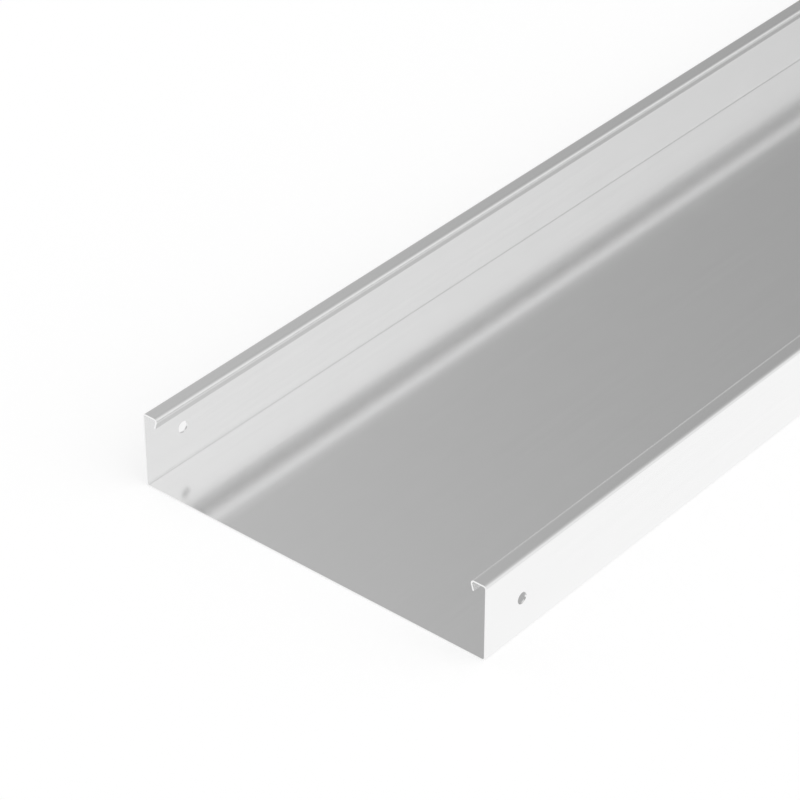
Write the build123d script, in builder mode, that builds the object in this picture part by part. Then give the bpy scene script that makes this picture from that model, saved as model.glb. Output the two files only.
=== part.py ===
"""Sheet-steel cable trunking: one length of open tray, folded from a single blank.

The trunking lies along Y with its open side up. Its origin is the middle of the
underside, X runs across the width and Z is up. All sizes are in millimetres.
"""
from build123d import *
from math import radians, tan
import os

# Clear space inside, which is the size that the trunking is sold by
inside_width = 300.0
inside_height = 60.0
length = 3000.0

# Sheet and folds
sheet = 1.25
bend_inside = 1.5
flange_width = 14.0
lip_drop = 8.5
lip_lean = 16.5

# Coupler bolt holes, one through each wall near each end
hole_diameter = 9.0
hole_inset = 37.5
hole_height = 30.0

# The outer face of the folded section
wall_x = inside_width / 2 + sheet
flange_z = inside_height + sheet
bend_outside = bend_inside + sheet

# The lip hangs from the flange and leans back towards its own wall
lip_top_x = wall_x - flange_width
lip_foot_x = lip_top_x + lip_drop * tan(radians(lip_lean))

os.makedirs("parts", exist_ok=True)

with BuildPart() as trunking_body:
    with BuildSketch(Plane.XZ):
        with BuildLine():
            right_side = [
                (wall_x, 0),
                (wall_x, flange_z),
                (lip_top_x, flange_z),
                (lip_foot_x, flange_z - lip_drop),
            ]
            left_side = [(-x, z) for x, z in reversed(right_side)]
            FilletPolyline(*left_side, *right_side, radius=bend_outside)
            # The sheet lies all on the inner side of that line
            offset(amount=sheet, side=Side.LEFT)
        make_face()
    extrude(amount=length / 2, both=True)

    # Each drilling goes straight across, through both walls
    with Locations(Plane.YZ.offset(wall_x)):
        with Locations((0, hole_height)):
            with GridLocations(length - 2 * hole_inset, 0, 2, 1):
                Hole(radius=hole_diameter / 2)

trunking_body.part.label = "trunking_body"
export_step(trunking_body.part, "parts/trunking_body.step")
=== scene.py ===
"""One length of galvanised sheet-steel cable trunking, lying on the floor of a pale studio.

The trunking lies along Y with its open side up. X runs across it and Z is up, in metres.
"""
import math

import bpy
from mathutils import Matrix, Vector


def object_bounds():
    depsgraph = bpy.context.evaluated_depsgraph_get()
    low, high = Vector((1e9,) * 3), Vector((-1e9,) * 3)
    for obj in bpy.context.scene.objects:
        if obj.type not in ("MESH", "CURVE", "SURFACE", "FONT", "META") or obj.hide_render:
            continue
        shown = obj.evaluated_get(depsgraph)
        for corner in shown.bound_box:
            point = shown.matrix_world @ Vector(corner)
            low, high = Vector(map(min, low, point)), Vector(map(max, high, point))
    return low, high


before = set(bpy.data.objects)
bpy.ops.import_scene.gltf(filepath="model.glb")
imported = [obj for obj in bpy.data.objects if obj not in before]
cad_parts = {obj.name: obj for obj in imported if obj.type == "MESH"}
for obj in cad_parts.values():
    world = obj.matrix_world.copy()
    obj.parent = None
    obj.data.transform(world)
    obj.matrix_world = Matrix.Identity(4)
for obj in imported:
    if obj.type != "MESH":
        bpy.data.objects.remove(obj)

cad_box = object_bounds()

# Camera, worked out from the straight edges of the trunking in the photograph
PHOTO_WIDTH_PX = 800
FOCAL_LENGTH_PX = 3201.0
SENSOR_WIDTH_MM = 36.0
CAMERA_AZIMUTH = 39.96
CAMERA_ELEVATION = 34.58
CAMERA_DISTANCE = 2.0108
NEAREST_SEEN = 0.05
FARTHEST_SEEN = 100.0

# The point that the middle of the picture looks at, in the plane of the near end
AIM_X = 0.0792
AIM_Z = 0.1741

# Floor, and the light that lifts its shadow nearly to white for the camera
FLOOR_SIZE = 60.0
FLOOR_GAP = 0.0002
FLOOR_COLOUR = 0.70
FLOOR_LIFT = 0.516

# Painted reflection: levels at which the floor glows for mirrored rays only, set by place, so the metal
# mirrors these tones of it; 1 is white
FLOOR_LEFT = 0.75
FLOOR_RIGHT = 0.954
FLOOR_FAR_RIGHT = 0.75
FLOOR_FRONT = 0.953

# The right side fades to the far right between these distances from the middle
FAR_RIGHT_STARTS = 0.20
FAR_RIGHT_FULL = 0.60

# The front's brightness comes in over this length before the near end, under the trunking
FLOOR_FRONT_RISE = 0.01

# Brightness of the studio's walls, what the two ends lack of it and what each softbox adds to it
WALLS = 0.523
END_WALLS_LOSS = 0.244
RIGHT_SOFTBOX = 0.4645
LEFT_SOFTBOX = 0.157
CEILING_SOFTBOX = 0.368

# Where each softbox starts and is full, from 0 across its direction to 1 straight at it;
# the ceiling's second value lies past 1, so it goes on brightening to straight overhead
RIGHT_STARTS = 0.0
RIGHT_FULL = 0.73
LEFT_STARTS = 0.40
LEFT_FULL = 0.70
CEILING_STARTS = 0.52
CEILING_FULL = 1.10

# The folded sheet: its outer size from the frame, and its folds and holes as in the part's source
HALF_LENGTH = cad_box[1].y
WALL_X = cad_box[1].x
FLANGE_Z = cad_box[1].z
FLANGE_WIDTH = 0.014
BEND_RADIUS = 0.00275
LIP_DROP = 0.0085
LIP_LEAN = math.radians(16.5)
HOLE_INSET = 0.0375
HOLE_HEIGHT = 0.030
HOLE_RADIUS = 0.0045

# Where the flange starts to bend into the lip, and the corner of the lip's foot
LIP_TOP_X = WALL_X - FLANGE_WIDTH
LIP_BEND_X = LIP_TOP_X + BEND_RADIUS * math.tan((math.pi / 2 + LIP_LEAN) / 2)
LIP_FOOT_X = LIP_TOP_X + LIP_DROP * math.tan(LIP_LEAN)
LIP_FOOT_Z = FLANGE_Z - LIP_DROP

# Zinc: its mirror tone, how blunt its mirror is, and how much both change over the sheet
ZINC_TONE = 0.97
ZINC_ROUGHNESS = 0.15
STREAK_TONE = 0.030
CLOUD_TONE = 0.020
STREAK_ROUGHNESS = 0.030
CLOUD_ROUGHNESS = 0.020
ROLL_RELIEF = 0.0000012

# Patterns in the zinc: how wide a spot is, how long it is along the trunking, and its fineness
STREAKS = (0.0035, 0.300, 3.0)
CLOUDS = (0.018, 0.040, 2.0)
ROLL_MARKS = (0.0016, 0.060, 2.0)

# Painted shade: at the bends under the walls and on the lips the zinc is painted a little darker, with a
# soft edge to each side
BEND_PAINTED_SHADE = 0.03
BENT_EDGE = BEND_RADIUS / 8
LIP_ZONE_STARTS = 0.045
LIP_ZONE_FULL = 0.050

# Where a tool cut the sheet the steel is bare, to these depths
CUT_TONE = 1.0
CUT_ROUGHNESS = 0.30
END_CUT_DEPTH = 0.00005
CUT_DEPTH = 0.00003

# How far to the inner and outer side of its corner a lip's foot can reach
FOOT_INNER_REACH = 0.001
FOOT_OUTER_REACH = 0.002

# How many times in a row light is mirrored from wall to floor to lip
MIRRORINGS = 7


class Socket:
    """A shader node's output that can be added, subtracted, multiplied and so on."""

    def __init__(self, shader, output):
        self.shader = shader
        self.output = output

    def maths(self, operation, *values, clamp=False):
        settings = {"operation": operation, "use_clamp": clamp}
        return self.shader.node("ShaderNodeMath", settings, dict(enumerate(values)))

    def __add__(self, other):
        return self.maths("ADD", self, other)

    def __radd__(self, other):
        return self.maths("ADD", other, self)

    def __sub__(self, other):
        return self.maths("SUBTRACT", self, other)

    def __rsub__(self, other):
        return self.maths("SUBTRACT", other, self)

    def __mul__(self, other):
        return self.maths("MULTIPLY", self, other)

    def __rmul__(self, other):
        return self.maths("MULTIPLY", other, self)

    def __neg__(self):
        return self.maths("MULTIPLY", self, -1.0)

    def clamped(self):
        return self.maths("ADD", self, 0.0, clamp=True)

    def size(self):
        return self.maths("ABSOLUTE", self)

    def root(self):
        return self.maths("SQRT", self)

    def above(self, limit):
        return self.maths("GREATER_THAN", self, limit)

    def at_most(self, limit):
        return self.maths("MINIMUM", self, limit)


class Shader:
    """A node tree that grows by one method."""

    def __init__(self, owner):
        owner.use_nodes = True
        self.tree = owner.node_tree
        self.tree.nodes.clear()

    def node(self, kind, settings=None, inputs=None, output=0):
        made = self.tree.nodes.new(kind)
        for name, value in (settings or {}).items():
            setattr(made, name, value)
        for name, value in (inputs or {}).items():
            if isinstance(value, Socket):
                self.tree.links.new(value.output, made.inputs[name])
            else:
                made.inputs[name].default_value = value
        return Socket(self, made.outputs[output]) if made.outputs else None

    def x_y_z(self, vector):
        split = self.node("ShaderNodeSeparateXYZ", {}, {0: vector}).output.node
        return [Socket(self, output) for output in split.outputs]


def grey(level):
    return (level, level, level, 1.0)


def smooth_change(shader, value, start, end):
    """0 at start, 1 at end and a soft change between them, also where end is the lower value."""
    settings = {"interpolation_type": "SMOOTHSTEP"}
    return shader.node("ShaderNodeMapRange", settings, {"Value": value, "From Min": start, "From Max": end})


def direction_back(azimuth, elevation):
    """The direction from what is looked at back to the camera."""
    a, e = math.radians(azimuth), math.radians(elevation)
    return Vector((math.sin(a) * math.cos(e), -math.cos(a) * math.cos(e), math.sin(e)))


def place_camera():
    data = bpy.data.cameras.new("camera")
    data.sensor_width = SENSOR_WIDTH_MM
    data.lens = FOCAL_LENGTH_PX / PHOTO_WIDTH_PX * SENSOR_WIDTH_MM
    data.clip_start = NEAREST_SEEN
    data.clip_end = FARTHEST_SEEN
    camera = bpy.data.objects.new("camera", data)
    bpy.context.scene.collection.objects.link(camera)
    back = direction_back(CAMERA_AZIMUTH, CAMERA_ELEVATION)
    camera.location = Vector((AIM_X, cad_box[0].y, AIM_Z)) + back * CAMERA_DISTANCE
    camera.rotation_mode = "QUATERNION"
    camera.rotation_quaternion = (-back).to_track_quat("-Z", "Y")
    bpy.context.scene.camera = camera


def zinc_pattern(shader, place, width, length, fineness):
    """Noise from -0.5 to 0.5, in spots of that width, drawn out to that length along the trunking."""
    scale = (1.0 / width, 1.0 / length, 1.0 / width)
    drawn = shader.node("ShaderNodeVectorMath", {"operation": "MULTIPLY"}, {0: place, 1: scale})
    return shader.node("ShaderNodeTexNoise", {}, {"Vector": drawn, "Scale": 1.0, "Detail": fineness}) - 0.5


def painted_shade_zones(shader, x, z):
    """Where the painted shade goes: 1 in the bends under the walls and in the lips with their bends, 0 on
    the flat sheet.

    x is the distance from the middle, so both sides are alike.
    """
    wall_bend_x = WALL_X - BEND_RADIUS
    at_wall = smooth_change(shader, x, wall_bend_x - BENT_EDGE, wall_bend_x + BENT_EDGE)
    low = smooth_change(shader, z, BEND_RADIUS, BEND_RADIUS / 2)
    at_lip = smooth_change(shader, x, LIP_BEND_X + BENT_EDGE, LIP_BEND_X - BENT_EDGE)
    high = smooth_change(shader, z, LIP_ZONE_STARTS, LIP_ZONE_FULL)
    return at_wall * low + at_lip * high


def cut_faces(shader, x, y, z):
    """1 on the sheared ends, in the punched holes and on the lips' feet.

    x and y are distances from the middle, so both sides and both ends are alike.
    """
    ends = y.above(HALF_LENGTH - END_CUT_DEPTH)
    from_hole_y = y - (HALF_LENGTH - HOLE_INSET)
    from_hole_z = z - HOLE_HEIGHT
    from_hole = (from_hole_y * from_hole_y + from_hole_z * from_hole_z).root()
    holes = 1.0 - from_hole.above(HOLE_RADIUS + CUT_DEPTH)
    past_foot = (x - LIP_FOOT_X) * math.sin(LIP_LEAN) - (z - LIP_FOOT_Z) * math.cos(LIP_LEAN)
    near_foot = x.above(LIP_FOOT_X - FOOT_INNER_REACH) * (1.0 - x.above(LIP_FOOT_X + FOOT_OUTER_REACH))
    feet = past_foot.above(-CUT_DEPTH) * near_foot * z.above(LIP_ZONE_STARTS)
    return (ends + holes + feet).clamped()


def galvanised_steel():
    """Zinc-coated sheet: faint streaks from the rolls, cloudy zinc, painted shade darkening the bends and
    lips, bare cut faces.
    """
    material = bpy.data.materials.new("galvanised_steel")
    shader = Shader(material)
    place = shader.node("ShaderNodeTexCoord", output="Object")
    across, along, up = shader.x_y_z(place)
    painted_shade = painted_shade_zones(shader, across.size(), up)
    cut = cut_faces(shader, across.size(), along.size(), up)
    streaks = zinc_pattern(shader, place, *STREAKS)
    clouds = zinc_pattern(shader, place, *CLOUDS)
    roll_marks = zinc_pattern(shader, place, *ROLL_MARKS)
    # Painted shade: the zinc's tone is darkened a little at the bends and on the lips
    zinc = (ZINC_TONE + streaks * STREAK_TONE + clouds * CLOUD_TONE) * (1.0 - painted_shade * BEND_PAINTED_SHADE)
    dull = ZINC_ROUGHNESS + streaks * STREAK_ROUGHNESS + clouds * CLOUD_ROUGHNESS
    relief = shader.node("ShaderNodeBump", {}, {
        "Strength": 1.0,
        "Distance": ROLL_RELIEF,
        "Height": roll_marks,
    })
    steel = shader.node("ShaderNodeBsdfPrincipled", {"distribution": "MULTI_GGX"}, {
        "Metallic": 1.0,
        "Base Color": zinc + cut * (CUT_TONE - zinc),
        "Roughness": dull + cut * (CUT_ROUGHNESS - dull),
        "Normal": relief,
    })
    shader.node("ShaderNodeOutputMaterial", {}, {"Surface": steel})
    return material


def pale_floor():
    """Matt and pale, with its shadow lifted for the camera; where metal mirrors it, a glow of painted
    reflection, dimmer at the left and far right than at the right and in front.
    """
    material = bpy.data.materials.new("pale_floor")
    shader = Shader(material)
    seen = shader.node("ShaderNodeLightPath", output="Is Camera Ray")
    mirrored = shader.node("ShaderNodeLightPath", output="Is Glossy Ray")
    x, y, _ = shader.x_y_z(shader.node("ShaderNodeTexCoord", output="Object"))
    # Painted reflection: mirrored rays see the floor glow at a level set by place, not by the lamps
    right = smooth_change(shader, x, 0.0, WALL_X)
    far_right = smooth_change(shader, x, FAR_RIGHT_STARTS, FAR_RIGHT_FULL)
    in_front = smooth_change(shader, -y, HALF_LENGTH - FLOOR_FRONT_RISE, HALF_LENGTH)
    beside = FLOOR_LEFT + right * (FLOOR_RIGHT - FLOOR_LEFT) - far_right * (FLOOR_RIGHT - FLOOR_FAR_RIGHT)
    painted_reflection_level = beside + in_front * (FLOOR_FRONT - beside)
    matt = shader.node("ShaderNodeBsdfDiffuse", {}, {"Color": grey(FLOOR_COLOUR)})
    lift = shader.node("ShaderNodeEmission", {}, {"Color": seen * FLOOR_LIFT, "Strength": 1.0})
    shadowed = shader.node("ShaderNodeAddShader", {}, {0: matt, 1: lift})
    painted_reflection = shader.node("ShaderNodeEmission", {}, {"Color": painted_reflection_level, "Strength": 1.0})
    floor = shader.node("ShaderNodeMixShader", {}, {"Fac": mirrored, 1: shadowed, 2: painted_reflection})
    shader.node("ShaderNodeOutputMaterial", {}, {"Surface": floor})
    return material


def lay_floor():
    bpy.ops.object.select_all(action="DESELECT")
    bpy.ops.mesh.primitive_plane_add(size=FLOOR_SIZE, location=(0, 0, -FLOOR_GAP))
    floor = bpy.context.object
    floor.name = "floor"
    floor.data.materials.append(pale_floor())


def finish_trunking():
    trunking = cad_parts["trunking_body"]
    trunking.data.materials.clear()
    trunking.data.materials.append(galvanised_steel())


def light_studio():
    """Soft light from all round, with a softbox at the right, at the left and overhead.

    The camera itself sees plain white behind the floor.
    """
    world = bpy.data.worlds.new("studio")
    shader = Shader(world)
    x, y, z = shader.x_y_z(shader.node("ShaderNodeTexCoord", output="Generated"))
    right = smooth_change(shader, x, RIGHT_STARTS, RIGHT_FULL) * RIGHT_SOFTBOX
    left = smooth_change(shader, -x, LEFT_STARTS, LEFT_FULL) * LEFT_SOFTBOX
    ceiling = smooth_change(shader, z, CEILING_STARTS, CEILING_FULL) * CEILING_SOFTBOX
    light = (right + left + ceiling + WALLS - y.size() * END_WALLS_LOSS).at_most(1.0)
    seen = shader.node("ShaderNodeLightPath", output="Is Camera Ray")
    background = shader.node("ShaderNodeBackground", {}, {
        "Color": light + seen * (1.0 - light),
        "Strength": 1.0,
    })
    shader.node("ShaderNodeOutputWorld", {}, {"Surface": background})
    bpy.context.scene.world = world


place_camera()
finish_trunking()
lay_floor()
light_studio()
bpy.context.scene.cycles.glossy_bounces = MIRRORINGS
bpy.context.scene.view_settings.view_transform = "Standard"
